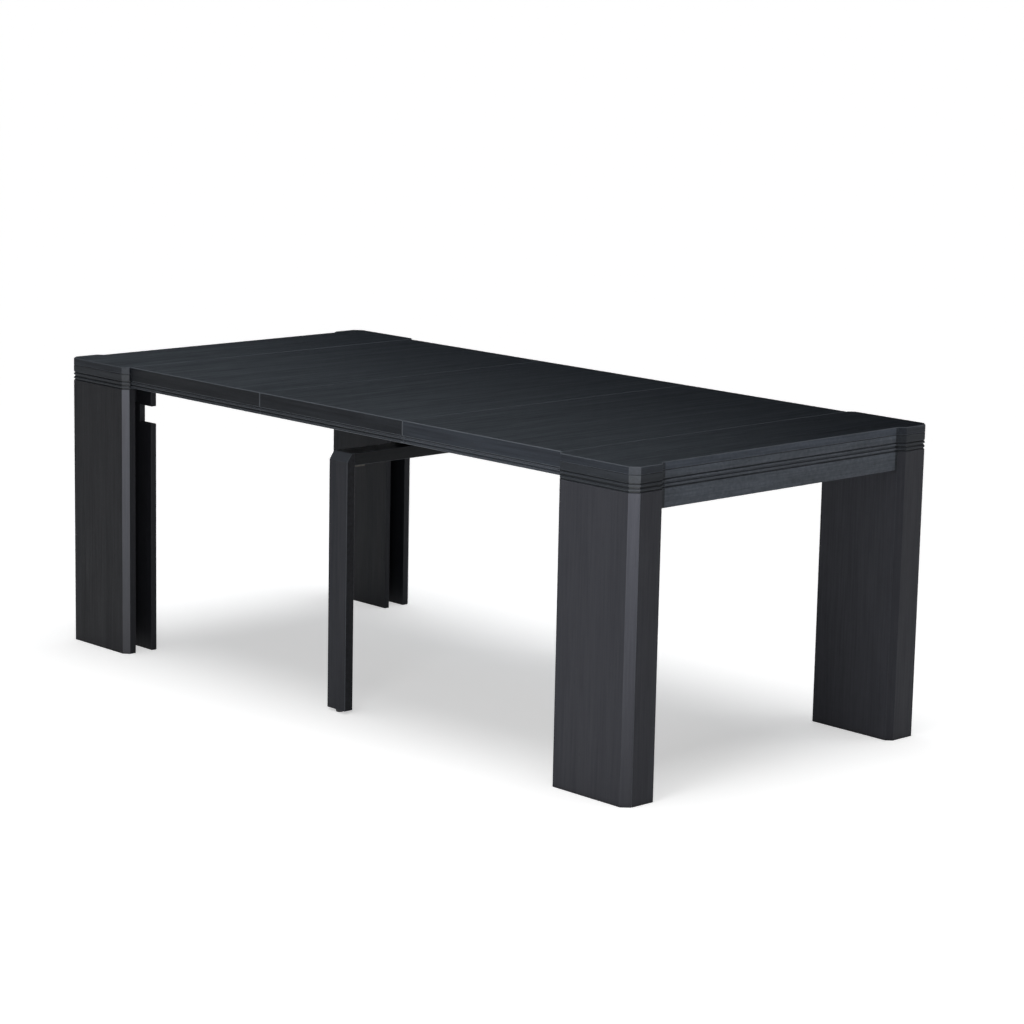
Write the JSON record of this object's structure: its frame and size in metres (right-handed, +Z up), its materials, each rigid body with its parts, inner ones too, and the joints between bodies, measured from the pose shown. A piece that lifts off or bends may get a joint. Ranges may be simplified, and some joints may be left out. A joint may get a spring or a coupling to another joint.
{
  "type": "extending dining table",
  "caption": "Extending dining table in black-stained wood: end units on hollow legs slide apart on telescopic rails over a slim centre support, with lift-out leaves laid between them.",
  "frame": {"origin": "on the floor under the middle of the table", "axes": "+X along the table to the right-hand end, +Y across it to the back, +Z up"},
  "size_m": [2.0856, 0.997, 0.76],
  "materials": {
    "black_veneer": "black-stained open-grain veneer, satin lacquer",
    "black_wood": "black-stained solid wood, satin lacquer",
    "aluminium": "plain extruded aluminium",
    "steel": "blackened pressed steel",
    "black_plastic": "moulded black plastic"
  },
  "bodies": {
    "centre_support": {"support_crossbar": "black_wood", "support_front_post": "black_wood", "support_front_bearer": "black_wood", "support_front_bracket": "steel", "support_front_glide": "black_plastic", "support_back_post": "black_wood", "support_back_bearer": "black_wood", "support_back_bracket": "steel", "support_back_glide": "black_plastic", "front_rail_centre": "aluminium", "back_rail_centre": "aluminium"},
    "left_end": {"left_top_board": "black_veneer", "left_under_board": "black_veneer", "left_edge_moulding": "black_wood", "left_apron": "black_wood", "left_front_leg_outer_board": "black_veneer", "left_front_leg_inner_board": "black_veneer", "left_front_leg_end_board": "black_veneer", "left_front_leg_top_block": "black_wood", "left_back_leg_outer_board": "black_veneer", "left_back_leg_inner_board": "black_veneer", "left_back_leg_end_board": "black_veneer", "left_back_leg_top_block": "black_wood", "front_rail_left_end": "aluminium", "back_rail_left_end": "aluminium"},
    "left_stage_1": {"front_rail_left_stage_1": "aluminium", "back_rail_left_stage_1": "aluminium"},
    "left_stage_2": {"front_rail_left_stage_2": "aluminium", "back_rail_left_stage_2": "aluminium"},
    "right_end": {"right_top_board": "black_veneer", "right_under_board": "black_veneer", "right_edge_moulding": "black_wood", "right_apron": "black_wood", "right_front_leg_outer_board": "black_veneer", "right_front_leg_inner_board": "black_veneer", "right_front_leg_end_board": "black_veneer", "right_front_leg_top_block": "black_wood", "right_back_leg_outer_board": "black_veneer", "right_back_leg_inner_board": "black_veneer", "right_back_leg_end_board": "black_veneer", "right_back_leg_top_block": "black_wood", "front_rail_right_end": "aluminium", "back_rail_right_end": "aluminium"},
    "right_stage_1": {"front_rail_right_stage_1": "aluminium", "back_rail_right_stage_1": "aluminium"},
    "right_stage_2": {"front_rail_right_stage_2": "aluminium", "back_rail_right_stage_2": "aluminium"},
    "left_leaf": {"left_leaf_board": "black_veneer", "left_leaf_front_moulding": "black_wood", "left_leaf_back_moulding": "black_wood"},
    "centre_leaf": {"centre_leaf_board": "black_veneer", "centre_leaf_front_moulding": "black_wood", "centre_leaf_back_moulding": "black_wood"},
    "right_leaf": {"right_leaf_board": "black_veneer", "right_leaf_front_moulding": "black_wood", "right_leaf_back_moulding": "black_wood"}
  },
  "joints": [
    {"name": "left_end_slide", "type": "slide", "parent": "centre_support", "child": "left_end", "axis": [-1, 0, 0], "range_m": [0, 0.12]},
    {"name": "left_stage_1_slide", "type": "slide", "parent": "centre_support", "child": "left_stage_1", "axis": [-1, 0, 0], "range_m": [0, 0.0402]},
    {"name": "left_stage_2_slide", "type": "slide", "parent": "centre_support", "child": "left_stage_2", "axis": [-1, 0, 0], "range_m": [0, 0.0802]},
    {"name": "right_end_slide", "type": "slide", "parent": "centre_support", "child": "right_end", "axis": [1, 0, 0], "range_m": [0, 0.12]},
    {"name": "right_stage_1_slide", "type": "slide", "parent": "centre_support", "child": "right_stage_1", "axis": [1, 0, 0], "range_m": [0, 0.0402]},
    {"name": "right_stage_2_slide", "type": "slide", "parent": "centre_support", "child": "right_stage_2", "axis": [1, 0, 0], "range_m": [0, 0.0802]},
    {"name": "left_leaf_lift", "type": "slide", "parent": "centre_support", "child": "left_leaf", "axis": [0, 0, 1], "range_m": [0, 0.12]},
    {"name": "centre_leaf_lift", "type": "slide", "parent": "centre_support", "child": "centre_leaf", "axis": [0, 0, 1], "range_m": [0, 0.12]},
    {"name": "right_leaf_lift", "type": "slide", "parent": "centre_support", "child": "right_leaf", "axis": [0, 0, 1], "range_m": [0, 0.12]}
  ],
  "couplings": [
    {"joint": "left_stage_1_slide", "follows": "left_end_slide", "ratio": 0.33333},
    {"joint": "left_stage_2_slide", "follows": "left_end_slide", "ratio": 0.66667},
    {"joint": "right_stage_1_slide", "follows": "right_end_slide", "ratio": 0.33333},
    {"joint": "right_stage_2_slide", "follows": "right_end_slide", "ratio": 0.66667}
  ]
}
